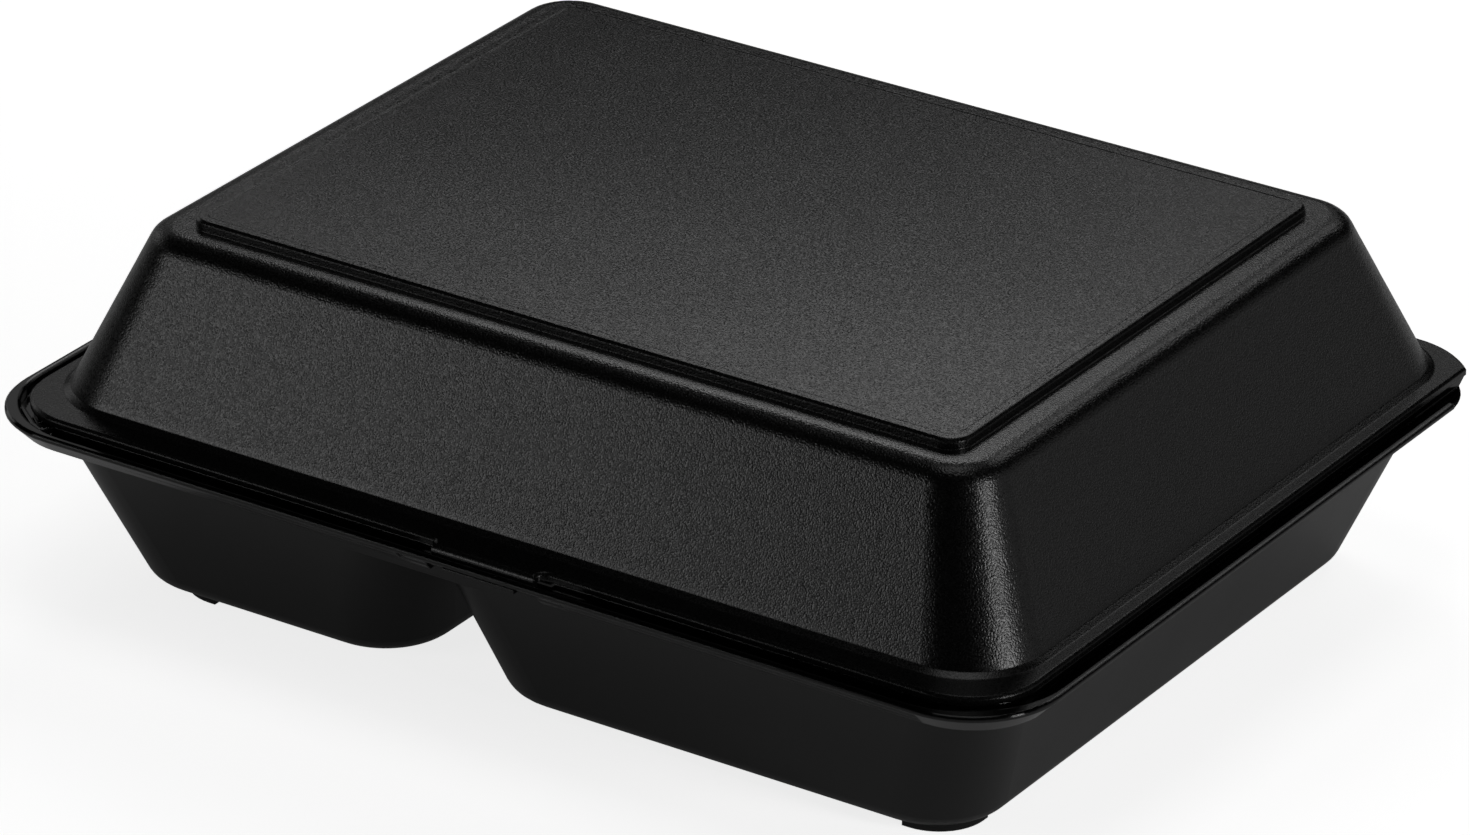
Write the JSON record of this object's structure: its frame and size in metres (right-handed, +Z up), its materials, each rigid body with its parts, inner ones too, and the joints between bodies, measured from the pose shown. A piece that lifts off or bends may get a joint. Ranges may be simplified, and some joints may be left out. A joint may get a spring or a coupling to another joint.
{
  "type": "reusable meal box",
  "caption": "Reusable take-away meal box with a domed lid hinged along the back, a front snap latch and a tray of unequal compartments.",
  "frame": {"origin": "middle of the box's footprint, on the table", "axes": "+X along the box, from the small compartment to the large one; +Y from the latch to the hinge; +Z up"},
  "size_m": [0.254, 0.2012, 0.0826],
  "materials": {
    "tray_plastic": "black polypropylene, smooth satin with a glossier rim",
    "lid_plastic": "black polypropylene, fine spark-eroded grain"
  },
  "bodies": {
    "tray": {"base_tray": "tray_plastic"},
    "cover": {"lid": "lid_plastic"}
  },
  "joints": [
    {"name": "lid_hinge", "type": "hinge", "parent": "tray", "child": "cover", "pos_m": [0, 0.10055, 0.0421], "axis": [-1, 0, 0], "range_deg": [0, 180]}
  ]
}
